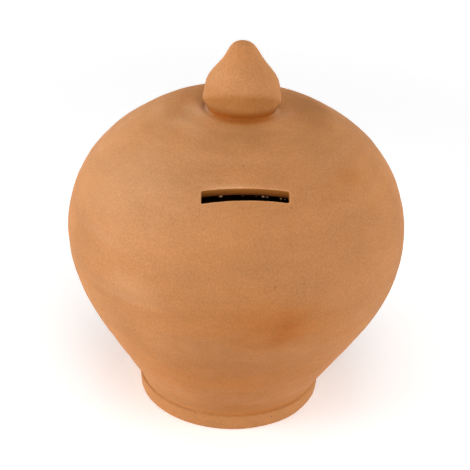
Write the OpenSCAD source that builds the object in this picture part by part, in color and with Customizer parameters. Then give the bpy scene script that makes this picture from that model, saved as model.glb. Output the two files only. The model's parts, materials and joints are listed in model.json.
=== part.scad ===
// Terracotta money bank: a wheel-thrown, closed pot with a coin slot, a projecting foot and a
// teardrop knob. The pieces are joined as wet clay with slip and fired together.
// Millimetres, +Z up, the slot faces -Y, and the origin is at the centre of the resting face.

/* [Body] */
// Widest diameter of the pot
body_d = 160; // [140:1:180]
// Height of the shoulder that the knob sits on
shoulder_z = 147; // [135:1:160]
// Wall thickness at the shoulder
wall_t = 4; // [3:0.5:5]
// Wall thickness just above the foot
wall_foot_t = 7; // [5:0.5:8]

/* [Foot] */
// Height of the foot
foot_h = 8.6; // [6:0.2:12]
// How far the foot's rim stands out from the wall above it
foot_lip = 1.65; // [0.8:0.05:4]

/* [Knob] */
// Widest diameter of the knob
knob_d = 35; // [30:0.5:42]
// Height of the knob above the shoulder
knob_h = 33; // [26:0.5:42]
// Diameter of the peg that plugs the neck
peg_d = 12; // [8:0.5:16]

/* [Coin slot] */
// Length of the slot
slot_l = 37; // [30:0.5:45]
// Width of the slot, across the cut
slot_w = 5.3; // [4:0.1:7]
// How far below the shoulder's height the slot's middle is
slot_drop = 13.4; // [10:0.2:25]
// Slope of the knife cut, from the horizontal
slot_slope = 70; // [50:1:90]

/* [Hidden] */
$fn = 96;
clay = [0.80, 0.55, 0.37];
foot_clay = [0.80, 0.51, 0.30];
slip_clay = [0.72, 0.45, 0.25];

span_steps = 5;       // segments between two knots of an outline
foot_taper = 0.5;     // how much narrower the foot is at its lower edge
foot_round_low = 1.4; // rounding of the foot's lower edge
foot_round_top = 0.9; // rounding of the foot's upper edge
key_h = 2.5;          // height of the foot's raised pad, which keys inside the wall
key_gap = 0.3;        // room for slip between that pad and the wall
peg_past = 1.5;       // how far the knob's peg stands out inside the neck
foot_bead = 1;        // height of the slip left in the crease above the foot
knife_out = 12;       // reach of the knife outside the slot's middle
knife_in = 16;        // reach of the knife inside it

knob_r = knob_d / 2;
peg_r = peg_d / 2;
slot_z = shoulder_z - slot_drop;

// Outline of the wall, as shares of the body's radius and of the height from foot to shoulder.
// It rises straight from the foot, turns over the shoulder, crests, and dips to the knob's seat.
wall_shape = [
    [0.545, 0], [0.68, 0.13], [0.80, 0.245], [0.91, 0.36], [0.98, 0.475], [1, 0.57],
    [0.99, 0.65], [0.925, 0.77], [0.78, 0.885], [0.575, 0.97], [0.475, 1],
    [0.38, 1.01], [0.275, 1.01], [0.17, 1]
];
// Outline of the knob, as shares of its own radius and height.
knob_shape = [
    [0.78, 0], [0.90, 0.07], [0.98, 0.17], [1, 0.27], [0.98, 0.37], [0.90, 0.49],
    [0.74, 0.61], [0.56, 0.73], [0.405, 0.855], [0.31, 0.945], [0.155, 0.99], [0, 1]
];

// A point of the Catmull-Rom curve between b and c.
function between(a, b, c, d, t) =
    b + t * (c - a) / 2
      + t * t * (2 * a - 5 * b + 4 * c - d) / 2
      + t * t * t * (3 * b - a - 3 * c + d) / 2;

// The smooth curve through knots. The points before and after them lean its two ends.
function through(before, knots, after) =
    let (k = concat([before], knots, [after]), last = len(knots) - 1)
    concat(
        [for (i = [1:last], s = [0:span_steps - 1])
            between(k[i - 1], k[i], k[i + 1], k[i + 2], s / span_steps)],
        [knots[last]]
    );

// The point that follows two others in a straight line.
function onward(a, b) = 2 * b - a;

function arc(centre, r, from, to, steps = 6) =
    [for (i = [0:steps]) let (a = from + (to - from) * i / steps) centre + r * [cos(a), sin(a)]];

// The outward normal of a rising outline at its point i.
function normal(outline, i) =
    let (
        a = outline[max(i - 1, 0)],
        b = outline[min(i + 1, len(outline) - 1)],
        along = (b - a) / norm(b - a)
    )
    [along[1], -along[0]];

// The wall thins as it rises, quickly at first.
function thickness(z) =
    wall_t + (wall_foot_t - wall_t) * pow((shoulder_z - z) / (shoulder_z - foot_h), 2);

// Radius of an outline at height z, where it leans inwards as it rises.
function radius_at(outline, z) =
    [for (i = [1:len(outline) - 1])
        let (low = outline[i - 1], high = outline[i])
        if (low[1] <= z && z < high[1] && high[0] < low[0])
            low[0] + (high[0] - low[0]) * (z - low[1]) / (high[1] - low[1])][0];

wall_knots = [for (s = wall_shape) [s[0] * body_d / 2, foot_h + s[1] * (shoulder_z - foot_h)]];
wall_top = len(wall_knots) - 1;
wall_out = through(
    onward(wall_knots[1], wall_knots[0]),
    wall_knots,
    onward(wall_knots[wall_top - 1], wall_knots[wall_top])
);
wall_in = [for (i = [1:len(wall_out) - 1]) wall_out[i] - thickness(wall_out[i][1]) * normal(wall_out, i)];
neck_low = wall_in[len(wall_in) - 1][1];
// Inner edge of the wall's lower end: its lowest inner stretch, drawn on down to the foot.
wall_in_foot = wall_in[0]
    + (wall_in[0] - wall_in[1]) * (wall_in[0][1] - foot_h) / (wall_in[1][1] - wall_in[0][1]);

knob_knots = [for (s = knob_shape) [s[0] * knob_r, shoulder_z + s[1] * knob_h]];
knob_top = len(knob_knots) - 1;
knob_out = through(
    onward(knob_knots[1], knob_knots[0]),
    knob_knots,
    [-knob_knots[knob_top - 1][0], knob_knots[knob_top - 1][1]]
);

module wall_section() {
    polygon(concat(
        wall_out,
        [[peg_r, shoulder_z], [peg_r, neck_low]],
        [for (i = [len(wall_in) - 1:-1:0]) wall_in[i]],
        [wall_in_foot]
    ));
}

module foot_section() {
    rim_r = wall_out[0][0] + foot_lip;
    key_r = wall_in_foot[0] - key_gap;
    polygon(concat(
        [[0, 0]],
        arc([rim_r - foot_taper - foot_round_low, foot_round_low], foot_round_low, -90, 0),
        arc([rim_r - foot_round_top, foot_h - foot_round_top], foot_round_top, 0, 90),
        [[key_r, foot_h], [key_r, foot_h + key_h], [0, foot_h + key_h]]
    ));
}

module knob_section() {
    polygon(concat(
        knob_out,
        [[0, neck_low - peg_past], [peg_r, neck_low - peg_past], [peg_r, shoulder_z]]
    ));
}

// The slot, as one straight cut of a knife through the front of the wall.
module knife() {
    translate([0, -radius_at(wall_out, slot_z), slot_z])
        rotate([-slot_slope, 0, 0])
            translate([-slot_l / 2, -knife_out, -slot_w / 2])
                cube([slot_l, knife_out + knife_in, slot_w]);
}

module thrown_wall() {
    color(clay)
        difference() {
            rotate_extrude() wall_section();
            knife();
        }
}

module foot_disc() {
    color(foot_clay) rotate_extrude() foot_section();
}

module knob() {
    color(clay) rotate_extrude() knob_section();
}

// The slip fills the corner between the foot's top and the wall.
module foot_slip_seam() {
    corner = wall_out[0];
    up_wall = (wall_out[1] - corner) / norm(wall_out[1] - corner);
    color(slip_clay)
        rotate_extrude()
            polygon([corner, corner + [foot_lip - foot_round_top, 0], corner + foot_bead * up_wall]);
}

// The slip fills the corner between the shoulder and the knob's underside.
module knob_slip_seam() {
    color(slip_clay)
        rotate_extrude()
            polygon([knob_out[0], wall_out[len(wall_out) - 2], knob_out[3], knob_out[2], knob_out[1]]);
}

thrown_wall();
foot_disc();
knob();
foot_slip_seam();
knob_slip_seam();
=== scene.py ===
"""Looks of the terracotta money bank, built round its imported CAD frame. Metres, +Z up, slot facing -Y."""

import json
import math

import bmesh
import bpy
import numpy as np
from mathutils import Matrix, Vector, noise
from mathutils.bvhtree import BVHTree


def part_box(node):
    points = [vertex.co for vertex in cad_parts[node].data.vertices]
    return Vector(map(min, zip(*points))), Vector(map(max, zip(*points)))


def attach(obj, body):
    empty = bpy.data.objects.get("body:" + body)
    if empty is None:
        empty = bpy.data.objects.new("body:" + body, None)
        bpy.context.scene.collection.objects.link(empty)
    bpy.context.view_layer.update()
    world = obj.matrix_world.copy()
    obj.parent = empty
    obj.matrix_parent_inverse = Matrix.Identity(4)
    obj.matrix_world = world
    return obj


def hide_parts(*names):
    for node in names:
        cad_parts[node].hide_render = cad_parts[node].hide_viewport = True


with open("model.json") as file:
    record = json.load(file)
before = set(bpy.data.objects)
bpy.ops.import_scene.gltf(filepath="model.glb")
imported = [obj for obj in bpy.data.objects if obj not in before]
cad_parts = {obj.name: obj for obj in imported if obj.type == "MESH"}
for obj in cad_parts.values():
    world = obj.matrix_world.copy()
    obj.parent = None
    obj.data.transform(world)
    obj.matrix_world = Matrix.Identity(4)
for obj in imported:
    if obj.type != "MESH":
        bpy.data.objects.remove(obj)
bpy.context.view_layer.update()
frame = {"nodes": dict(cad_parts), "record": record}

MM = 0.001

# The coin slot's knife cut has the CAD's length and width, and is 3 degrees flatter than the CAD's cut.
SLOT_SLOPE = math.radians(67)
SLOT_LENGTH = 37.0 * MM
SLOT_WIDTH = 5.3 * MM
# How far up the shoulder each long edge is moved from the CAD's, and how steeply it climbs towards +X.
LOW_EDGE = (0.65 * MM, math.tan(math.radians(1.6)))
HIGH_EDGE = (0.38 * MM, math.tan(math.radians(0.6)))
# How far the outer and the inner edge are rounded, and the rounding of the slot's corners.
OUTER_LIP = 0.7 * MM
INNER_LIP = 0.4 * MM
SLOT_CORNER = 0.7 * MM
# The crumbs left in the cut: the place along the slot and the size of each, in millimetres.
CRUMBS = ((-10.3, 1.1), (-1.0, 0.4), (4.6, 0.4), (7.5, 1.0), (9.4, 0.8), (15.2, 0.8), (17.0, 0.5))

# The shoulder's clay is drawn up a little towards the knob.
COLLAR_RISE = 0.5 * MM
COLLAR_REACH = 9 * MM

# How the knob departs from its turned outline: fuller low down, slimmer above that, and flared at its foot.
# Each has how far it stands out, its height above the knob's seat, and how far it reaches up and down.
KNOB_BULGE = (0.6 * MM, 6.2 * MM, 2.8 * MM)
KNOB_WAIST = (-0.2 * MM, 11 * MM, 4 * MM)
KNOB_HEEL = (1.7 * MM, 0.0, 2.6 * MM)
KNOB_TIP_SHIFT = np.array([-0.5, 0, 0.3]) * MM

# How finely the wall is meshed.
ROW_STEP = 0.9 * MM
INNER_ROW_STEP = 3.2 * MM
SLOT_COLUMNS = 72
SLOT_ROWS = 7
LIP_LOOPS = 4
BACK_COLUMN_STEP = math.radians(1.45)
WARP_ROWS = 22 * MM
WARP_COLUMNS = math.radians(14)

WALL_LOW, WALL_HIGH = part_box("thrown_wall")
BODY_CENTRE_Z = (WALL_LOW.z + WALL_HIGH.z) / 2


# ---------------------------------------------------------------- outlines read from the CAD nodes


def skin_points(node, centre_z, low, high, count, inside=False):
    """Where rays behind the axis, from low to high degrees, meet a CAD node, as rows of (r, z)."""
    tree = BVHTree.FromObject(frame["nodes"][node], bpy.context.evaluated_depsgraph_get())
    centre = Vector((0, 0, centre_z))
    found = []
    for angle in np.radians(np.linspace(low, high, count)):
        way = Vector((0, math.cos(angle), math.sin(angle)))
        start, heading = (centre, way) if inside else (centre + way * 0.5, -way)
        hit = tree.ray_cast(start, heading)[0]
        found.append((hit.y, hit.z))
    return np.array(found)


def rings(node):
    """The radius and height of every ring of vertices that a turned CAD node has, as rows of (r, z)."""
    vertices = np.array([v.co for v in frame["nodes"][node].data.vertices])
    found = np.stack([np.hypot(vertices[:, 0], vertices[:, 1]), vertices[:, 2]], -1)
    return np.unique(np.round(found, 6), axis=0)


def radii_at(node, z):
    """The radii of a turned CAD node's rings at height z, from the smallest."""
    found = rings(node)
    return found[np.abs(found[:, 1] - z) < 0.01 * MM, 0]


def polar(point, centre_z):
    """The angle of a point (r, z) above the horizon of the point (0, centre_z), in degrees."""
    return math.degrees(math.atan2(point[1] - centre_z, point[0]))


def soften(points, passes=2):
    """The same open outline with the corners between its CAD facets evened out, and its ends kept."""
    points = points.copy()
    for _ in range(passes):
        points[1:-1] = 0.25 * points[:-2] + 0.5 * points[1:-1] + 0.25 * points[2:]
    return points


def curve_through(points, per_span=8):
    """A smooth dense line through knots (Catmull-Rom)."""
    k = np.vstack([2 * points[0] - points[1], points, 2 * points[-1] - points[-2]])
    t = np.linspace(0, 1, per_span, endpoint=False)[:, None]
    line = [
        b + t * (c - a) / 2 + t**2 * (2 * a - 5 * b + 4 * c - d) / 2 + t**3 * (3 * b - a - 3 * c + d) / 2
        for a, b, c, d in zip(k[:-3], k[1:-2], k[2:-1], k[3:])
    ]
    return np.vstack([*line, points[-1:]])


class Outline:
    """A meridian outline, measured by the distance s along it."""

    def __init__(self, points):
        self.line = points
        self.at = np.concatenate([[0], np.cumsum(np.linalg.norm(np.diff(points, axis=0), axis=1))])
        self.length = self.at[-1]

    def rz(self, s):
        return np.interp(s, self.at, self.line[:, 0]), np.interp(s, self.at, self.line[:, 1])

    def shoulder(self):
        """The stretch from the widest place up to the crest, where z rises as r shrinks."""
        widest, crest = self.line[:, 0].argmax(), self.line[:, 1].argmax()
        rising = slice(widest, crest + 1)
        return self.line[rising, 0], self.line[rising, 1], self.at[rising]


# ---------------------------------------------------------------- mesh building


class Piece:
    """Collects the vertices and faces of one piece."""

    def __init__(self):
        self.points, self.faces, self.materials = [], [], []

    def add(self, points):
        """Adds an array of points and gives their numbers, in the same shape."""
        points = np.asarray(points, float)
        first = len(self.points)
        self.points.extend(points.reshape(-1, 3))
        return np.arange(first, first + points.size // 3).reshape(points.shape[:-1])

    def sheet(self, ids, skip=None, material=0):
        """Quads between neighbouring rows. The columns close round the axis."""
        across = np.roll(ids, -1, axis=1)
        for j in range(len(ids) - 1):
            for i in range(ids.shape[1]):
                if skip is None or not skip(j, i):
                    self.faces.append((ids[j, i], across[j, i], across[j + 1, i], ids[j + 1, i]))
                    self.materials.append(material)

    def fan(self, ring, middle):
        """Triangles from a closed ring to one point."""
        tip = int(self.add(np.array(middle)[None])[0])
        for a, b in zip(ring, np.roll(ring, -1)):
            self.faces.append((a, b, tip))
            self.materials.append(0)

    def build(self, name):
        used = sorted({int(v) for face in self.faces for v in face})
        renumber = {old: new for new, old in enumerate(used)}
        mesh = bpy.data.meshes.new(name)
        points = [tuple(self.points[v]) for v in used]
        faces = [[renumber[int(v)] for v in face] for face in self.faces]
        mesh.from_pydata(points, [], faces)
        mesh.polygons.foreach_set("material_index", self.materials)
        mesh.validate()
        obj = bpy.data.objects.new(name, mesh)
        bpy.context.scene.collection.objects.link(obj)
        turn_outwards(obj)
        mesh.shade_smooth()
        return obj


def turn_outwards(obj):
    """Makes every face of a closed mesh look outwards."""
    bm = bmesh.new()
    bm.from_mesh(obj.data)
    bmesh.ops.recalc_face_normals(bm, faces=bm.faces)
    bm.to_mesh(obj.data)
    bm.free()


def around(r, z, azimuth):
    """Points at radius r and height z, at azimuths counted from the front (-Y) towards +X."""
    r, z, azimuth = np.broadcast_arrays(r, z, azimuth)
    return np.stack([r * np.sin(azimuth), -r * np.cos(azimuth), z], -1)


def smoothstep(t):
    t = np.clip(t, 0, 1)
    return t * t * (3 - 2 * t)


def along_line(*corners, step=0.8 * MM):
    """Points along straight stretches between corners, no further apart than step."""
    line = [corners[0]]
    for a, b in zip(corners[:-1], corners[1:]):
        n = max(1, math.ceil(np.linalg.norm(np.subtract(b, a)) / step))
        line += [tuple(np.add(a, np.multiply(np.subtract(b, a), t / n))) for t in range(1, n + 1)]
    return np.array(line)


def fade(distance, reach):
    """1 at no distance, falling smoothly to 0 at reach."""
    return 1 - smoothstep(np.abs(distance) / reach)


def roughness_field(points, size, seed):
    """Smooth noise from -1 to 1 at each point, with lumps of about the given size."""
    shift = Vector((seed * 7.31, seed * 3.17, seed * 5.73))
    flat = np.asarray(points).reshape(-1, 3) / size
    values = [noise.noise(Vector(p) + shift) for p in flat]
    return np.array(values).reshape(np.asarray(points).shape[:-1])


# ---------------------------------------------------------------- hand-made relief


def relief(points, s, azimuth):
    """How far the thrown surface stands out from the even outline: rings, finger grooves and dents."""
    around_noise = roughness_field(points, 38 * MM, 1)
    patchy = 0.5 + 0.9 * roughness_field(points, 24 * MM, 2)
    fine = np.sin(2 * math.pi * s / (5.6 * MM) - azimuth + 1.4 * around_noise)
    broad = np.sin(2 * math.pi * s / (15.5 * MM) - azimuth + 1.1 * around_noise)
    ridge = np.abs(np.sin(math.pi * s / (9.3 * MM) - azimuth / 2 + 0.8 * around_noise))
    dents = roughness_field(points, 30 * MM, 3)
    ripple = roughness_field(points * np.array([1, 1, 3.0]), 7 * MM, 4)
    thrown = patchy * (0.045 * fine + 0.10 * broad - 0.07 * ridge)
    return MM * (thrown + 0.16 * dents + 0.025 * ripple)


def lean(points):
    """The small sideways wander of a hand-thrown wall, whose axis and rings aren't quite true."""
    z = points[..., 2]
    azimuth = np.arctan2(points[..., 0], -points[..., 1])
    base = fade(z, 62 * MM)
    belly = fade(z - 66 * MM, 34 * MM)
    out = 0.35 * MM * belly * np.cos(azimuth - math.radians(70))
    moved = points.copy()
    moved[..., 0] += -0.55 * MM * base + out * np.sin(azimuth)
    moved[..., 1] += -out * np.cos(azimuth)
    return moved


# ---------------------------------------------------------------- coin slot


class Slot:
    """The knife cut: x runs along it, v across it up the shoulder, and u out of the wall."""

    v_way = np.array([0, math.sin(SLOT_SLOPE), math.cos(SLOT_SLOPE)])
    u_way = np.array([0, -math.cos(SLOT_SLOPE), math.sin(SLOT_SLOPE)])

    def __init__(self, outer, inner):
        box = next(o for o in frame["record"]["physics"]["openings"] if o["name"] == "coin_slot")["box_m"]
        self.middle = np.mean(box, axis=0)
        self.skins = {"outer": outer.shoulder(), "inner": inner.shoulder()}
        self.middle = self.middle + self.depth(np.zeros(1), np.zeros(1), "outer")[0] * self.u_way

    def point(self, x, v, u):
        """The place in the row frame of slot coordinates."""
        x, v, u = np.broadcast_arrays(x, v, u)
        place = self.middle + v[..., None] * self.v_way + u[..., None] * self.u_way
        place[..., 0] += x
        return place

    def outwards(self, places):
        """Unit directions that lead away from the middle of the cut, square to the blade's way in."""
        x, v = places[..., 0], (places - self.middle) @ self.v_way
        core = (SLOT_LENGTH - SLOT_WIDTH) / 2
        x = x - np.clip(x, -core, core)
        size = np.maximum(np.hypot(x, v), 1e-9)
        return (v / size)[..., None] * self.v_way + (x / size)[..., None] * np.array([1, 0, 0])

    def depth(self, x, v, skin):
        """The u at which the blade's line at (x, v) crosses a skin of the wall, by bisection."""
        r, z, _ = self.skins[skin]
        low, high = np.full(np.shape(x), -14 * MM), np.full(np.shape(x), 10 * MM)
        for _ in range(40):
            middle = (low + high) / 2
            p = self.point(x, v, middle)
            outside = np.hypot(p[..., 0], p[..., 1]) > np.interp(p[..., 2], z, r)
            high = np.where(outside, middle, high)
            low = np.where(outside, low, middle)
        return (low + high) / 2

    def rim(self, along, across, spread, corner):
        """Slot coordinates (x, v) of a rim that runs spread outside the cut, with rounded corners."""
        half_x, half_v = SLOT_LENGTH / 2 + spread, SLOT_WIDTH / 2 + spread
        x, v = along * half_x, across * half_v
        over_x, over_v = np.abs(x) - (half_x - corner), np.abs(v) - (half_v - corner)
        rounding = (over_x > 0) & (over_v > 0)
        pull = np.where(rounding, corner / np.maximum(np.hypot(over_x, over_v), 1e-9), 1)
        x = np.where(rounding, np.sign(x) * (half_x - corner + over_x * pull), x)
        v = np.where(rounding, np.sign(v) * (half_v - corner + over_v * pull), v)
        low, high = (rise + tilt * x for rise, tilt in (LOW_EDGE, HIGH_EDGE))
        return x, v + (1 - across) / 2 * low + (1 + across) / 2 * high


def column_azimuths():
    """Azimuths of the wall's columns, all the way round: close together at the slot, wider behind."""
    end = math.asin(SLOT_LENGTH / 2 / -slot.middle[1])
    step = end / (SLOT_COLUMNS / 2)
    half = [step * i for i in range(SLOT_COLUMNS // 2 + 9)]
    while half[-1] < math.pi:
        step = min(step * 1.08, BACK_COLUMN_STEP)
        half.append(half[-1] + step)
    half = np.array(half)
    tail = half > math.radians(40)
    start = half[~tail][-1]
    half[tail] = start + (half[tail] - start) * (math.pi - start) / (half[-1] - start)
    return np.concatenate([-half[:0:-1], half[:-1]])


def skin_grid(outline, skin, spread, step):
    """One skin of the wall as rows and columns of (azimuth, s), warped so that they follow the slot's rim.
    Gives the azimuths, the distances s, and the rows and columns where the slot's hole starts and ends."""
    r, z, s = slot.skins[skin]

    def placed(x, v):
        p = slot.point(x, v, slot.depth(x, v, skin))
        return np.arctan2(p[..., 0], -p[..., 1]), np.interp(p[..., 2], z, s)

    half_v = SLOT_WIDTH / 2 + spread
    edges = placed(np.zeros(2), np.array([-half_v, half_v]))[1]
    below = np.linspace(0, edges[0], max(2, round(edges[0] / step)) + 1)
    above = np.linspace(edges[1], outline.length, max(2, round((outline.length - edges[1]) / step)) + 1)
    band = np.linspace(edges[0], edges[1], SLOT_ROWS + 1)[1:-1]
    rows = np.concatenate([below, band, above])
    first_row, last_row = len(below) - 1, len(below) + len(band)
    columns = column_azimuths()
    middle = int(np.abs(columns).argmin())
    first_column, last_column = middle - SLOT_COLUMNS // 2, middle + SLOT_COLUMNS // 2

    near_column = np.clip(np.arange(len(columns)), first_column, last_column)
    near_row = np.clip(np.arange(len(rows)), first_row, last_row)
    along = (near_column - middle) / (SLOT_COLUMNS / 2)
    across = (near_row - (first_row + last_row) / 2) / (SLOT_ROWS / 2)
    x, v = slot.rim(*np.meshgrid(along, across), spread, SLOT_CORNER + spread)
    azimuth, s_rim = placed(x, v)
    beside = fade(columns - columns[near_column], WARP_COLUMNS)
    beyond = fade(rows - rows[near_row], WARP_ROWS)
    weight = beside[None] * beyond[:, None]
    azimuths = columns[None] + weight * (azimuth - columns[near_column][None])
    distances = rows[:, None] + weight * (s_rim - rows[near_row][:, None])
    return azimuths, distances, (first_row, last_row, first_column, last_column)


def hole_loop(hole):
    """Rows and columns round a hole's rim, in order, with their places along and across the slot."""
    j0, j1, i0, i1 = hole
    cells = [(j0, i) for i in range(i0, i1)]
    cells += [(j, i1) for j in range(j0, j1)]
    cells += [(j1, i) for i in range(i1, i0, -1)]
    cells += [(j, i0) for j in range(j1, j0, -1)]
    rows, columns = np.array(cells).T
    along = (columns - (i0 + i1) / 2) / ((i1 - i0) / 2)
    across = (rows - (j0 + j1) / 2) / ((j1 - j0) / 2)
    return rows, columns, along, across


def cut_faces(along, across):
    """The rings of points from the outer lip to the inner one, over the rounded edges and down the cut."""
    wide = slot.rim(along, across, OUTER_LIP, SLOT_CORNER + OUTER_LIP)
    cut = slot.rim(along, across, 0, SLOT_CORNER)
    wide_in = slot.rim(along, across, INNER_LIP, SLOT_CORNER + INNER_LIP)
    top, bottom = slot.depth(*cut, "outer"), slot.depth(*cut, "inner")
    edge = slot.point(*cut, top)
    inner_edge = slot.point(*cut, bottom)
    brow = slot.point(*wide, slot.depth(*wide, "outer"))
    inner_brow = slot.point(*wide_in, slot.depth(*wide_in, "inner"))

    def bend(a, b, c, t):
        return (1 - t) ** 2 * a + 2 * t * (1 - t) * b + t**2 * c

    rings = [bend(brow, edge, slot.point(*cut, top - OUTER_LIP), t) for t in (0.2, 0.4, 0.6, 0.8, 1)]
    for t in np.linspace(0, 1, 7)[1:-1]:
        rings.append(slot.point(*cut, (1 - t) * (top - OUTER_LIP) + t * (bottom + INNER_LIP)))
    start = slot.point(*cut, bottom + INNER_LIP)
    rings += [bend(start, inner_edge, inner_brow, t) for t in (0, 0.33, 0.67)]
    return rings


# ---------------------------------------------------------------- pieces


def make_wall(outer, inner, neck_radius):
    """The thrown wall as one closed mesh: outer skin, seat of the knob, neck, inner skin and cut slot."""
    piece = Piece()
    azimuth, s, hole = skin_grid(outer, "outer", OUTER_LIP, ROW_STEP)
    r, z = outer.rz(s)
    points = around(r, z, azimuth)
    slope = np.stack(outer.rz(s + 0.05 * MM)) - np.stack(outer.rz(s - 0.05 * MM))
    slope /= np.maximum(np.linalg.norm(slope, axis=0), 1e-12)
    out = around(slope[1], -slope[0], azimuth)
    calm = smoothstep(s / (3 * MM)) * smoothstep((outer.length - s) / (8 * MM))
    collar = COLLAR_RISE * fade(outer.length - s - 2 * MM, COLLAR_REACH)
    points = points + out * (relief(points, s, azimuth) * calm + collar)[..., None]
    skin = piece.add(lean(points))

    azimuth_in, s_in, hole_in = skin_grid(inner, "inner", INNER_LIP, INNER_ROW_STEP)
    points = around(*inner.rz(s_in), azimuth_in)
    lining = piece.add(lean(points))[::-1]

    columns = azimuth[0]
    seat, ceiling = tuple(outer.line[-1]), tuple(inner.line[-1])
    turn = along_line(seat, (neck_radius, seat[1]), (neck_radius, ceiling[1]), ceiling, step=2.6 * MM)[1:-1]
    crown = piece.add(np.stack([around(a, b, columns) for a, b in turn]))
    under = along_line(tuple(inner.line[0]), tuple(outer.line[0]), step=2.5 * MM)[1:-1]
    sole = piece.add(lean(np.stack([around(a, b, columns) for a, b in under])))

    def in_hole(span, flipped=0):
        j0, j1, i0, i1 = span
        if flipped:
            j0, j1 = flipped - j1, flipped - j0
        return lambda j, i: j0 <= j < j1 and i0 <= i < i1

    piece.sheet(skin, in_hole(hole))
    piece.sheet(np.vstack([skin[-1:], crown, lining[:1]]))
    piece.sheet(lining, in_hole(hole_in, len(lining) - 1))
    piece.sheet(np.vstack([lining[-1:], sole, skin[:1]]))

    rows, columns, along, across = hole_loop(hole)
    rim = skin[rows, columns]
    wander = relief(np.array(piece.points)[rim], s[rows, columns], azimuth[rows, columns])
    rows_in, columns_in = hole_loop(hole_in)[:2]
    rim_in = lining[len(lining) - 1 - rows_in, columns_in]
    loops = [rim]
    for number, loop in enumerate(cut_faces(along, across)):
        rough = MM * (0.10 * roughness_field(loop, 2.2 * MM, 5) + 0.06 * roughness_field(loop, 0.9 * MM, 6))
        lift = wander * max(0, 1 - number / 5)
        moved = loop + slot.outwards(loop) * rough[:, None] + lift[:, None] * slot.u_way
        loops.append(piece.add(lean(moved)))
    loops.append(rim_in)
    # The rounded lip takes the second material, with a painted highlight; the cut face takes the third,
    # with painted shade.
    piece.sheet(np.stack(loops[:LIP_LOOPS]), material=1)
    piece.sheet(np.stack(loops[LIP_LOOPS - 1 :]), material=2)
    return piece.build("pot_wall")


def make_turned(name, outline, columns, shape):
    """A closed body from an outline that starts and ends on the axis, turned and then moved by shape."""
    piece = Piece()
    azimuth = np.linspace(-math.pi, math.pi, columns, endpoint=False)
    points = around(outline[1:-1, 0][:, None], outline[1:-1, 1][:, None], azimuth[None])
    points = shape(points)
    ids = piece.add(points)
    piece.sheet(ids)
    for end in (0, -1):
        piece.fan(ids[end], (*points[end].mean(axis=0)[:2], outline[end, 1]))
    return piece.build(name)


def make_knob(teardrop, neck_radius):
    """The solid teardrop knob with the peg that plugs the neck."""
    low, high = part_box("knob")
    base = teardrop.line[0]
    peg = along_line((0, low.z), (neck_radius, low.z), (neck_radius, base[1]), tuple(base), step=1.5 * MM)
    rows = np.linspace(0, teardrop.length, 90)
    outline = np.vstack([peg[:-1], np.stack(teardrop.rz(rows), -1)])

    def shape(points):
        azimuth = np.arctan2(points[..., 0], -points[..., 1])
        height = (points[..., 2] - base[1]) / (high.z - base[1])
        rings = np.sin(2 * math.pi * points[..., 2] / (2.3 * MM) - azimuth)
        rings += 0.7 * np.sin(2 * math.pi * points[..., 2] / (3.7 * MM) - azimuth + 2)
        lumps = roughness_field(points, 11 * MM, 8)
        shown = smoothstep(height / 0.06) * fade(height - 0.4, 0.62)
        out = MM * shown * (0.035 * rings * (0.6 + roughness_field(points, 9 * MM, 9)) + 0.22 * lumps)
        above_seat = points[..., 2] - base[1]
        bulge, waist, heel = (
            out_by * fade(above_seat - up_by, reach)
            for out_by, up_by, reach in (KNOB_BULGE, KNOB_WAIST, KNOB_HEEL)
        )
        out += bulge + waist + heel * smoothstep((above_seat + 0.2 * MM) / MM)
        around_axis = np.stack([np.sin(azimuth), -np.cos(azimuth), 0 * azimuth], -1)
        tip = smoothstep((height - 0.75) / 0.25)[..., None]
        return points + around_axis * out[..., None] + tip * KNOB_TIP_SHIFT

    return make_turned("pot_knob", outline, 144, shape)


def make_foot():
    """The disc that closes the bottom: rounded rim, wire-cut underside, and a pad inside the wall."""
    low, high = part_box("foot_disc")
    key_r = radii_at("foot_disc", high.z)[-1]
    side = rings("foot_disc")
    side = side[side[:, 0] > key_r + 1 * MM]
    side = side[np.argsort(side[:, 1])]
    rim_top = side[-1]
    under = along_line((0, low.z), tuple(side[0]), step=1.2 * MM)
    top = along_line(tuple(rim_top), (key_r, rim_top[1]), (key_r, high.z), (0, high.z), step=2.5 * MM)
    outline = np.vstack([under[:-1], along_line(*map(tuple, side)), top[1:]])

    def shape(points):
        azimuth = np.arctan2(points[..., 0], -points[..., 1])
        radius = np.hypot(points[..., 0], points[..., 1])
        shown = smoothstep((radius - key_r - 3 * MM) / (3 * MM))
        lumps = roughness_field(points, 16 * MM, 10)
        nicks = roughness_field(points * np.array([1, 1, 2.0]), 4 * MM, 11)
        out = MM * shown * (0.30 * lumps + 0.08 * nicks)
        around_axis = np.stack([np.sin(azimuth), -np.cos(azimuth), 0 * azimuth], -1)
        moved = points + around_axis * out[..., None]
        beneath = fade(points[..., 2] - low.z, 0.4 * MM)
        arcs = np.hypot(moved[..., 0] - 30 * MM, moved[..., 1] + 55 * MM)
        arcs = arcs + 1.2 * MM * roughness_field(points, 20 * MM, 12)
        drag = 0.5 + 0.5 * np.sin(2 * math.pi * arcs / (4.2 * MM))
        moved[..., 2] += beneath * 0.16 * MM * drag * (0.6 + 0.4 * roughness_field(points, 9 * MM, 13))
        moved[..., 2] += beneath * smoothstep((radius - 38 * MM) / (8 * MM)) * 0.05 * MM
        soft_top = shown * fade(points[..., 2] - rim_top[1], 2 * MM)
        moved[..., 2] += soft_top * 0.18 * MM * roughness_field(points, 12 * MM, 14)
        return lean(moved)

    return make_turned("pot_foot", outline, 288, shape)


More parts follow.
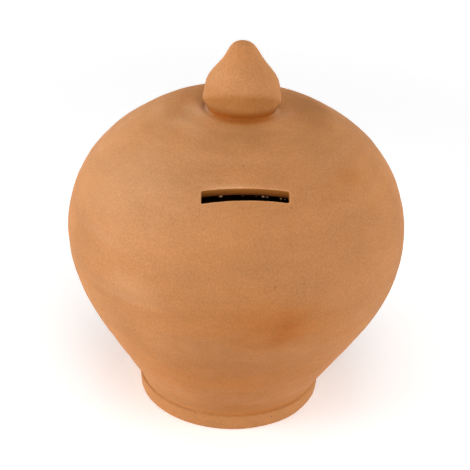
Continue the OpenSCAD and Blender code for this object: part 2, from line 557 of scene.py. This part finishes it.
def make_seam(name, corner, low_side, high_side, hollow, fuller, seed):
    """A line of slip in a crease: a ring whose visible face is a shallow cove between two sides.
    The cove is filled out by the factor fuller at the front left."""
    t = np.linspace(0, 1, 7)[:, None, None]
    azimuth = np.linspace(-math.pi, math.pi, 240, endpoint=False)
    fill = 1 + fuller * (0.5 + 0.5 * np.cos(azimuth + math.radians(70)))[:, None]
    cove = (1 - t) ** 2 * low_side + 2 * t * (1 - t) * (corner + hollow * fill) + t**2 * high_side
    section = np.concatenate([np.broadcast_to(corner, cove[:1].shape), cove])
    rings = around(section[..., 0], section[..., 1], azimuth[None])
    lumps = roughness_field(rings[0], 9 * MM, seed)
    nicks = roughness_field(rings[0], 3 * MM, seed + 1)
    swell = 1 + 0.10 * lumps + 0.05 * nicks
    rings = rings[:1] + (rings - rings[:1]) * swell[None, :, None]
    piece = Piece()
    ids = piece.add(lean(rings))
    piece.sheet(np.vstack([ids, ids[:1]]))
    return piece.build(name)


def make_crumbs():
    """Crumbs of dry clay along the inner edge of the slot's back face, as a knife leaves them."""
    bm = bmesh.new()
    for number, (x, size) in enumerate(CRUMBS):
        x = np.array([x * MM])
        v = np.array([SLOT_WIDTH / 2])
        at = slot.point(x, v - 0.1 * MM, slot.depth(x, v, "inner") + 0.15 * MM)[0]
        made = bmesh.ops.create_icosphere(bm, subdivisions=3, radius=size / 2 * MM)["verts"]
        for vert in made:
            lump = 1 + 0.5 * noise.noise(vert.co / (0.35 * MM) + Vector((number * 3.7, 1, 2)))
            vert.co = Vector((vert.co.x * 1.25, vert.co.y, vert.co.z * 0.85)) * lump + Vector(at)
    mesh = bpy.data.meshes.new("slot_crumbs")
    bm.to_mesh(mesh)
    bm.free()
    mesh.shade_smooth()
    obj = bpy.data.objects.new("slot_crumbs", mesh)
    bpy.context.scene.collection.objects.link(obj)
    return obj


# ---------------------------------------------------------------- materials


# Noise that follows the wheel's rings is laid out on a thin cylinder of RING_RADIUS, so that it changes
# slowly round the axis. Its rise is the fall from the top times FALL_RADIUS, or on the knob the height.
RING_RADIUS = 16 * MM
FALL_RADIUS = 75 * MM


class Shade:
    """Shorthand for the node tree of one material."""

    def __init__(self, name, upright=False):
        self.material = bpy.data.materials.new(name)
        self.material.use_nodes = True
        self.tree = self.material.node_tree
        self.shader = self.tree.nodes["Principled BSDF"]
        self.position = self.add("ShaderNodeTexCoord").outputs["Object"]
        split = self.add("ShaderNodeSeparateXYZ", {0: self.position})
        level = self.combined(split.outputs[0], split.outputs[1])
        height = self.math("SUBTRACT", split.outputs[2], BODY_CENTRE_Z)
        self.level_way = self.vector("NORMALIZE", level)
        self.azimuth = self.math("ARCTAN2", split.outputs[0], self.math("MULTIPLY", split.outputs[1], -1.0))
        self.radius = self.vector("LENGTH", level)
        self.fall = self.math("ARCTAN2", self.radius, height)
        self.ragged = self.math("MULTIPLY_ADD", self.noise(self.position, 9 * MM, 3.0), 0.4, -0.2)
        self.rise = height if upright else self.math("MULTIPLY", self.fall, FALL_RADIUS)

    def add(self, kind, inputs=(), **settings):
        """A node with its settings, and its inputs as values or as sockets to link."""
        made = self.tree.nodes.new(kind)
        for key, value in settings.items():
            setattr(made, key, value)
        for key, value in dict(inputs).items():
            if isinstance(value, bpy.types.NodeSocket):
                self.tree.links.new(value, made.inputs[key])
            else:
                made.inputs[key].default_value = value
        return made

    def combined(self, x, y, z=0.0):
        return self.add("ShaderNodeCombineXYZ", {0: x, 1: y, 2: z}).outputs[0]

    def math(self, operation, a, b=0.0, c=0.0):
        return self.add("ShaderNodeMath", {0: a, 1: b, 2: c}, operation=operation).outputs[0]

    def vector(self, operation, a, b=(0, 0, 0)):
        made = self.add("ShaderNodeVectorMath", {0: a, 1: b}, operation=operation)
        return made.outputs["Value" if operation in ("LENGTH", "DISTANCE", "DOT_PRODUCT") else "Vector"]

    def noise(self, place, size, detail=2.0, roughness=0.5):
        """Noise from 0 to 1, with lumps of about the given size in metres."""
        inputs = {"Vector": place, "Scale": 1 / size, "Detail": detail, "Roughness": roughness}
        return self.add("ShaderNodeTexNoise", inputs).outputs["Fac"]

    def remap(self, value, low, high, to_low=0.0, to_high=1.0):
        """Value from low to high, taken smoothly to the range to_low to to_high."""
        inputs = {"Value": value, "From Min": low, "From Max": high, "To Min": to_low, "To Max": to_high}
        return self.add("ShaderNodeMapRange", inputs, interpolation_type="SMOOTHSTEP").outputs["Result"]

    def mix(self, amount, a, b, blend="MIX"):
        inputs = {0: amount, 6: a, 7: b}
        return self.add("ShaderNodeMix", inputs, data_type="RGBA", blend_type=blend).outputs[2]

    def turned(self):
        """Coordinates drawn out along the wheel's rings: round the axis they change slowly."""
        inputs = {0: self.level_way, "Scale": RING_RADIUS}
        ring = self.add("ShaderNodeVectorMath", inputs, operation="SCALE").outputs[0]
        split = self.add("ShaderNodeSeparateXYZ", {0: ring})
        return self.combined(split.outputs[0], split.outputs[1], self.rise)

    def soft_patch(self, azimuth, fall, width, height):
        """A soft-edged blot of tint, drawn out round the bank, for marks and for painted shade and
        highlights: 1 in its middle,
        0 outside. All four are in degrees: its azimuth and its fall from the top, then its half width and
                                            half height."""
        azimuth, fall, width, height = map(math.radians, (azimuth, fall, width, height))
        across = self.math("DIVIDE", self.math("SUBTRACT", self.azimuth, azimuth), width)
        down = self.math("DIVIDE", self.math("SUBTRACT", self.fall, fall), height)
        far = self.vector("LENGTH", self.combined(across, down))
        return self.remap(self.math("ADD", far, self.ragged), 1.1, -0.1)

    def near_ring(self, radius, height, reach, forward=0.0):
        """1 on a level ring round the axis, falling to 0 at reach. It is wider in front by forward."""
        split = self.add("ShaderNodeSeparateXYZ", {0: self.position})
        front = self.vector("DOT_PRODUCT", self.level_way, (0, -forward, 0))
        out = self.math("SUBTRACT", self.math("SUBTRACT", self.radius, radius), front)
        up = self.math("SUBTRACT", split.outputs[2], height)
        far = self.vector("LENGTH", self.combined(out, up))
        return self.remap(far, reach, reach * 0.15)

    def low_front_shade(self):
        """1 on the low front of the knob, 0 above a plane that rises towards the front: where its painted
        shade goes.
        """
        above = self.vector("DOT_PRODUCT", self.position, (0, 0.5, 1))
        return self.remap(above, SHOULDER + 7.1 * MM, SHOULDER + 3.4 * MM)

    def inside(self):
        """0 at the wall's outer skin beside the slot, 1 deep in the cut: how much painted shade the cut
        gets.
        """
        from_centre = self.vector("DISTANCE", self.position, (0, 0, BODY_CENTRE_Z))
        outer = float(np.linalg.norm(slot.middle - np.array([0, 0, BODY_CENTRE_Z])))
        return self.remap(from_centre, outer - 1.2 * MM, outer - 4.6 * MM)

    def tinted(self, colour, amount, tint):
        return self.mix(amount, colour, (*tint, 1), "MULTIPLY")


def linear(red, green, blue):
    """A colour as scene-linear RGBA, from its sRGB values of 0 to 255."""
    values = [c / 255 for c in (red, green, blue)]
    return tuple(c / 12.92 if c <= 0.04045 else ((c + 0.055) / 1.055) ** 2.4 for c in values) + (1.0,)


CLAY = linear(182, 124, 74)
CRUMB = linear(150, 112, 78)
CRUMB_SHADE = linear(118, 78, 48)
SPECK = (0.30, 0.26, 0.22)
SPECK_SPACING = 6.5 * MM
SPECK_CHANCE = 0.86
SPECK_EDGE = (0.075, 0.045)
SPECK_STRENGTH = 0.6

# The clay's tone varies by kiln mottling, by streaks along the wheel's rings, and by its grain.
MOTTLE_SIZE = 30 * MM
MOTTLE_TONES = (0.96, 1.04)
STREAKS = ((13 * MM, 2.0, 0.13), (4.5 * MM, 4.0, 0.20))
GRAIN_SIZE = 0.9 * MM
GRAIN_STRENGTH = 0.68
CLAY_ROUGHNESS = (0.80, 0.93)
RELIEF_DISTANCE = 0.14 * MM

# What each place multiplies the clay's colour by: painted shade in the crease round the knob, painted
# orange bounce light on the knob's shaded foot, painted shade on its low front, a painted highlight on the
# slot's lip, painted shade on its cut face and deeper in the cut, and the foot.
CREASE_SHADE = (1.00, 0.74, 0.30)
KNOB_FOOT_BOUNCE_LIGHT = (1.22, 1.08, 0.72)
SHADED_KNOB = (0.82, 0.73, 0.50)
SLOT_LIP_HIGHLIGHT = (1.13, 1.20, 1.30)
SLOT_CUT_SHADE = (0.60, 0.44, 0.12)
SLOT_DEEP_SHADE = (0.62, 0.48, 0.25)
FOOT_TINT = (1.12, 1.14, 1.12)

# Three tints that the marks below multiply the colour by: paler and less orange, warmer, and darker.
PALE_TINT = (1.15, 1.35, 1.75)
WARM_TINT = (0.92, 0.77, 0.50)
DARK_TINT = (0.78, 0.74, 0.65)

# Where the marks are: azimuth, fall from the top, half width and half height in degrees, kind, strength.
# On the shoulder round the knob: the darker marks are painted shade in the shallow hollow round the knob's
# seat and under its front; the paler ones beside the knob are partly paler clay and partly painted light
# where the knob shades the shoulder.
SHOULDER_MARKS_SHADE_AND_LIGHT = [
    (-90, 16, 35, 6, PALE_TINT, 0.4),
    (-90, 29, 40, 6, PALE_TINT, 0.4),
    (-72, 16, 38, 8, PALE_TINT, 1.0),
    (-54, 24, 24, 6, PALE_TINT, 0.8),
    (-34, 28, 14, 4, PALE_TINT, 0.2),
    (70, 15, 34, 6, PALE_TINT, 0.5),
    (94, 26, 62, 11, DARK_TINT, 1.0),
    (6, 22, 34, 10, DARK_TINT, 0.6),
    (8, 28, 14, 5, DARK_TINT, 0.3),
    (0, 14, 62, 7, DARK_TINT, 1.0),
]
# The knob's slip seam has the shoulder's marks, and painted light on its sides where the knob's bulge
# shades it.
KNOB_SEAM_MARKS_SHADE_AND_LIGHT = SHOULDER_MARKS_SHADE_AND_LIGHT + [
    (-76, 13, 40, 9, PALE_TINT, 0.5),
    (76, 13, 40, 9, PALE_TINT, 0.5),
]
# Painted shade in the crease above the foot, strongest at the front and to the right.
FOOT_SEAM_SHADE = [
    (18, 146, 66, 14, WARM_TINT, 1.0),
]
# Painted highlights on the knob's upper left.
KNOB_HIGHLIGHTS = [
    (-30, 9, 75, 5, PALE_TINT, 0.3),
    (-68, 8, 42, 4, PALE_TINT, 0.2),
]
# On the body: the broad darker, warmer marks low in front, at falls of 90 and 122 degrees and near the
# foot, are painted shade where the body turns under; the rest are paler and darker patches.
BODY_MARKS_AND_SHADE = [
    (-50, 52, 50, 30, PALE_TINT, 0.8),
    (-100, 45, 30, 25, PALE_TINT, 0.4),
    (-36, 82, 16, 7, PALE_TINT, 0.6),
    (0, 90, 42, 16, WARM_TINT, 0.6),
    (0, 122, 85, 26, WARM_TINT, 1.0),
    (10, 87, 22, 12, WARM_TINT, 0.7),
    (14, 90, 11, 8, WARM_TINT, 0.9),
    (8, 96, 18, 5, WARM_TINT, 0.6),
    (36, 99, 22, 5, WARM_TINT, 0.5),
    (51, 48, 13, 5, WARM_TINT, 0.5),
    (35, 50, 9, 4, WARM_TINT, 0.2),
    (24, 92, 22, 9, WARM_TINT, 0.4),
    (10, 144, 60, 6, WARM_TINT, 0.7),
    (0, 107, 46, 15, DARK_TINT, 0.5),
    (0, 70, 34, 9, DARK_TINT, 0.2),
    (-67, 77, 10, 13, DARK_TINT, 0.3),
    (72, 66, 13, 24, DARK_TINT, 0.4),
    (-42, 104, 16, 12, DARK_TINT, 0.4),
    (165, 80, 40, 22, WARM_TINT, 0.5),
    (-150, 62, 30, 14, PALE_TINT, 0.3),
    (135, 110, 40, 16, DARK_TINT, 0.4),
]
# Thin bands along the wheel's rings; the first three are a painted highlight along the slot's upper lip.
RING_MARKS_AND_SLOT_HIGHLIGHT = [
    (-10, 45.4, 12, 1.5, PALE_TINT, 0.8),
    (0, 44.4, 10, 1.3, PALE_TINT, 0.5),
    (12, 45, 7, 1.3, PALE_TINT, 0.2),
    (-44, 86, 34, 2, PALE_TINT, 0.3),
    (-4, 36, 48, 3, PALE_TINT, 0.2),
    (-52, 70, 26, 2, PALE_TINT, 0.2),
    (45, 56, 30, 3, PALE_TINT, 0.1),
    (55, 40, 30, 3, PALE_TINT, 0.2),
    (4, 76, 20, 2, WARM_TINT, 0.3),
]
# All the wall's marks, painted shade and painted highlights among them.
WALL_MARKS_SHADE_AND_LIGHT = SHOULDER_MARKS_SHADE_AND_LIGHT + BODY_MARKS_AND_SHADE + RING_MARKS_AND_SLOT_HIGHLIGHT


def terracotta(name, marks=(), crease=None, shaded=False, tint=None, deep=None):
    """Unglazed fired clay: kiln mottling, rings left by the wheel, fine grain, dark specks, and marks, many
    of them painted shade and painted highlights.
    """
    shade = Shade(name, upright=shaded)
    rings = shade.turned()
    grain = shade.noise(shade.position, GRAIN_SIZE, 3.0, 0.7)
    tone = shade.remap(shade.noise(shade.position, MOTTLE_SIZE, 3.0), 0.3, 0.7, *MOTTLE_TONES)
    for size, detail, strength in STREAKS:
        streak = shade.math("SUBTRACT", shade.noise(rings, size, detail, 0.6), 0.5)
        tone = shade.math("MULTIPLY_ADD", streak, strength, tone)
    tone = shade.math("MULTIPLY_ADD", shade.math("SUBTRACT", grain, 0.5), GRAIN_STRENGTH, tone)
    colour = shade.mix(1.0, CLAY, tone, "MULTIPLY")
    # Paler and darker marks, many of them painted shade and painted highlights, as the lists say.
    for *place, kind, strength in marks:
        colour = shade.tinted(colour, shade.math("MULTIPLY", shade.soft_patch(*place), strength), kind)
    # Painted shade in the crease round the knob.
    if crease:
        colour = shade.tinted(colour, shade.near_ring(*crease), CREASE_SHADE)
    # A tint over the whole piece: for the foot, for the painted highlight on the slot's lip, and for the
    # painted shade on its cut face.
    if tint:
        colour = shade.tinted(colour, 1.0, tint)
    # Painted shade that deepens into the slot's cut.
    if deep:
        colour = shade.tinted(colour, shade.inside(), deep)
    # On the knob: painted shade on its low front, and painted orange bounce light on its shaded foot.
    if shaded:
        colour = shade.tinted(colour, shade.low_front_shade(), SHADED_KNOB)
        colour = shade.tinted(colour, shade.near_ring(*KNOB_FOOT_BOUNCE_RING), KNOB_FOOT_BOUNCE_LIGHT)
    cells = shade.add("ShaderNodeTexVoronoi", {"Vector": shade.position, "Scale": 1 / SPECK_SPACING})
    chance = shade.add("ShaderNodeSeparateColor", {0: cells.outputs["Color"]}).outputs[0]
    picked = shade.math("GREATER_THAN", chance, SPECK_CHANCE)
    dot = shade.remap(cells.outputs["Distance"], *SPECK_EDGE)
    speck = shade.math("MULTIPLY", shade.math("MULTIPLY", dot, picked), SPECK_STRENGTH)
    colour = shade.tinted(colour, speck, SPECK)
    shade.tree.links.new(colour, shade.shader.inputs["Base Color"])

    rough = shade.remap(shade.noise(shade.position, 5 * MM, 2.0), 0.3, 0.7, *CLAY_ROUGHNESS)
    shade.tree.links.new(rough, shade.shader.inputs["Roughness"])
    shade.shader.inputs["Diffuse Roughness"].default_value = 0.7
    shade.shader.inputs["Specular IOR Level"].default_value = 0.28

    lines = shade.noise(rings, 1.3 * MM, 3.0, 0.6)
    height = shade.math("MULTIPLY_ADD", lines, 0.9, shade.math("MULTIPLY", grain, 0.55))
    sand = shade.noise(shade.position, 0.35 * MM, 2.0, 0.8)
    height = shade.math("ADD", height, shade.math("MULTIPLY", sand, 0.25))
    bump = shade.add("ShaderNodeBump", {"Height": height, "Strength": 0.6, "Distance": RELIEF_DISTANCE})
    shade.tree.links.new(bump.outputs[0], shade.shader.inputs["Normal"])
    return shade.material


def crumb_clay():
    """Dry, powdery crumbs, paler than the fired wall."""
    shade = Shade("crumb_clay")
    grain = shade.noise(shade.position, 0.4 * MM, 2.0)
    colour = shade.mix(shade.remap(grain, 0.3, 0.7), CRUMB, CRUMB_SHADE)
    shade.tree.links.new(colour, shade.shader.inputs["Base Color"])
    shade.shader.inputs["Roughness"].default_value = 0.95
    return shade.material


def studio_floor():
    """A plain white floor that glows more further from the bank."""
    shade = Shade("studio_floor")
    tone = shade.noise(shade.position, 0.5, 1.0)
    colour = shade.mix(shade.remap(tone, 0.3, 0.7), (0.93, 0.93, 0.93, 1), (0.95, 0.95, 0.95, 1))
    shade.tree.links.new(colour, shade.shader.inputs["Base Color"])
    shade.shader.inputs["Roughness"].default_value = 0.9
    shade.shader.inputs["Specular IOR Level"].default_value = 0.0
    shade.shader.inputs["Emission Color"].default_value = (1, 1, 1, 1)
    glow = shade.remap(shade.radius, FLOOR_NEAR, FLOOR_FAR, FLOOR_GLOW, 1.0)
    shade.tree.links.new(glow, shade.shader.inputs["Emission Strength"])
    return shade.material


# ---------------------------------------------------------------- stage


# Square soft boxes round the bank: azimuth from the front and elevation in degrees, then watts.
LIGHTS = {
    "left_softbox": (-75, 12, 7.0),
    "right_softbox": (75, 12, 3.0),
    "front_high_softbox": (15, 45, 3.6),
    "top_softbox": (0, 85, 3.0),
    "rear_left_softbox": (-150, 12, 0.8),
    "rear_right_softbox": (150, 12, 0.8),
}
LIGHT_DISTANCE = 0.9
LIGHT_SIZE = 0.6
LIGHT_AIM = 90 * MM

# The floor glows a little near the bank and fully from FLOOR_FAR out, so it meets the horizon white.
FLOOR_HALF = 30.0
FLOOR_GLOW = 0.33
FLOOR_NEAR = 0.3
FLOOR_FAR = 1.2

# The sky is white at the horizon and dark from SKY_DARK up, as the z of a direction.
SKY_PALE = 0.06
SKY_DARK = 0.30


def make_camera():
    """The photograph's view: just left of the slot, 28 degrees above level, and rolled a little."""
    azimuth, elevation, roll = math.radians(-3.2), math.radians(28), math.radians(2.5)
    distance, lens = 565 * MM, 89.8
    target_height, target_left = 82.75 * MM, 0.4 * MM
    right = Vector((math.cos(azimuth), math.sin(azimuth), 0))
    target = Vector((0, 0, target_height)) - right * target_left
    back = Vector(around(math.cos(elevation), math.sin(elevation), azimuth))
    up = back.cross(right)
    turn = Matrix((right, up, back)).transposed().to_4x4() @ Matrix.Rotation(roll, 4, "Z")
    data = bpy.data.cameras.new("camera")
    data.lens, data.sensor_width = lens, 36
    data.clip_start = 0.01
    camera = bpy.data.objects.new("camera", data)
    camera.matrix_world = Matrix.Translation(target + back * distance) @ turn
    bpy.context.scene.collection.objects.link(camera)
    bpy.context.scene.camera = camera


def make_light(name, azimuth, elevation, power):
    """A square soft box that looks at the middle of the bank."""
    azimuth, elevation = math.radians(azimuth), math.radians(elevation)
    way = Vector(around(math.cos(elevation), math.sin(elevation), azimuth))
    data = bpy.data.lights.new(name, "AREA")
    data.size = LIGHT_SIZE
    data.energy = power
    light = bpy.data.objects.new(name, data)
    light.location = Vector((0, 0, LIGHT_AIM)) + way * LIGHT_DISTANCE
    light.rotation_euler = (-way).to_track_quat("-Z", "Y").to_euler()
    bpy.context.scene.collection.objects.link(light)


def make_stage():
    """A white floor, soft boxes all round, and a sky that is white only near the horizon."""
    mesh = bpy.data.meshes.new("floor")
    corners = [(x * FLOOR_HALF, y * FLOOR_HALF, 0) for x, y in ((-1, -1), (1, -1), (1, 1), (-1, 1))]
    mesh.from_pydata(corners, [], [(0, 1, 2, 3)])
    floor = bpy.data.objects.new("floor", mesh)
    bpy.context.scene.collection.objects.link(floor)
    mesh.materials.append(studio_floor())

    for name, (azimuth, elevation, power) in LIGHTS.items():
        make_light(name, azimuth, elevation, power)
    world = bpy.data.worlds.new("sky")
    world.use_nodes = True
    background = world.node_tree.nodes["Background"]
    background.inputs["Color"].default_value = (1, 1, 1, 1)
    nodes, links = world.node_tree.nodes, world.node_tree.links
    way = nodes.new("ShaderNodeTexCoord").outputs["Generated"]
    split = nodes.new("ShaderNodeSeparateXYZ")
    links.new(way, split.inputs[0])
    band = nodes.new("ShaderNodeMapRange")
    band.interpolation_type = "SMOOTHSTEP"
    links.new(split.outputs[2], band.inputs["Value"])
    for key, value in (("From Min", SKY_PALE), ("From Max", SKY_DARK), ("To Min", 1.0), ("To Max", 0.0)):
        band.inputs[key].default_value = value
    links.new(band.outputs["Result"], background.inputs["Strength"])
    bpy.context.scene.world = world
    bpy.context.scene.view_settings.view_transform = "Standard"


# ---------------------------------------------------------------- the bank


FOOT_TOP = WALL_LOW.z
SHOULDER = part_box("knob_slip_seam")[0].z

neck_radius = radii_at("thrown_wall", SHOULDER)[0]
seat = (radii_at("knob", SHOULDER)[-1], SHOULDER)
wall_foot = (radii_at("thrown_wall", FOOT_TOP)[-1], FOOT_TOP)
lining_foot = (radii_at("thrown_wall", FOOT_TOP)[0], FOOT_TOP)
ceiling_z = min(z for r, z in rings("thrown_wall") if abs(r - neck_radius) < 0.01 * MM)
ceiling = (radii_at("thrown_wall", ceiling_z)[1], ceiling_z)
knob_top = (0.0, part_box("knob")[1].z)


def outline_between(node, first, last, centre_z, count, inside=False):
    """The smooth outline of a CAD node from one corner to another."""
    low, high = polar(first, centre_z), polar(last, centre_z)
    step = (high - low) / (count + 1)
    knots = skin_points(node, centre_z, low + step, high - step, count, inside)
    return Outline(curve_through(soften(np.vstack([first, knots, last]))))


wall_outline = outline_between("thrown_wall", wall_foot, seat, BODY_CENTRE_Z, 44)
lining_outline = outline_between("thrown_wall", lining_foot, ceiling, BODY_CENTRE_Z, 36, inside=True)
knob_outline = outline_between("knob", seat, knob_top, SHOULDER + 9 * MM, 30)
slot = Slot(wall_outline, lining_outline)

wall = make_wall(wall_outline, lining_outline, neck_radius)
knob = make_knob(knob_outline, neck_radius)
foot = make_foot()
foot_corner = np.array(wall_foot)
foot_seam = make_seam(
    "foot_seam",
    foot_corner,
    low_side=foot_corner + np.array([1.35, -0.3]) * MM,
    high_side=np.array(wall_outline.rz(4.6 * MM)) - np.array([0.3, 0]) * MM,
    hollow=np.array([0.15, 0.3]) * MM,
    fuller=1.5,
    seed=20,
)
knob_seam = make_seam(
    "knob_seam",
    np.array(seat),
    low_side=np.array(wall_outline.rz(wall_outline.length - 5 * MM)) + np.array([0, 0.2]) * MM,
    high_side=np.array(knob_outline.rz(3.2 * MM)) + np.array([0.3, 0]) * MM,
    hollow=np.array([2.1, 0.9]) * MM,
    fuller=0,
    seed=22,
)
crumbs = make_crumbs()

# Level rings round the axis: radius, height, reach, and how much wider the ring is in front. The first
# places the painted shade in the crease round the knob, the second the painted bounce light on the knob's
# shaded foot.
KNOB_CREASE_SHADE_RING = (10.5 * MM, SHOULDER + 2.4 * MM, 5.2 * MM, 6 * MM)
KNOB_FOOT_BOUNCE_RING = (15.5 * MM, SHOULDER + 1.6 * MM, 2.4 * MM)

for piece, body_slot, material, nodes in (
    (wall, "terracotta", terracotta("wall_clay", WALL_MARKS_SHADE_AND_LIGHT, KNOB_CREASE_SHADE_RING), ["thrown_wall"]),
    (knob, "knob_clay", terracotta("knob_clay", KNOB_HIGHLIGHTS, KNOB_CREASE_SHADE_RING, True), ["knob"]),
    (foot, "foot_clay", terracotta("foot_clay", tint=FOOT_TINT), ["foot_disc"]),
    (foot_seam, "slip", terracotta("foot_slip", FOOT_SEAM_SHADE, tint=FOOT_TINT), ["foot_slip_seam"]),
    (knob_seam, "slip", terracotta("knob_slip", KNOB_SEAM_MARKS_SHADE_AND_LIGHT, KNOB_CREASE_SHADE_RING), ["knob_slip_seam"]),
    (crumbs, "slip", crumb_clay(), []),
):
    piece.data.materials.append(material)
    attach(piece, "root")
    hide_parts(*nodes)

# The slot's rounded lip is painted with a highlight, and its cut face with shade that deepens into the cut.
wall.data.materials.append(terracotta("slot_lip_highlight_clay", WALL_MARKS_SHADE_AND_LIGHT, tint=SLOT_LIP_HIGHLIGHT))
wall.data.materials.append(terracotta("slot_cut_shade_clay", tint=SLOT_CUT_SHADE, deep=SLOT_DEEP_SHADE))

make_stage()
make_camera()
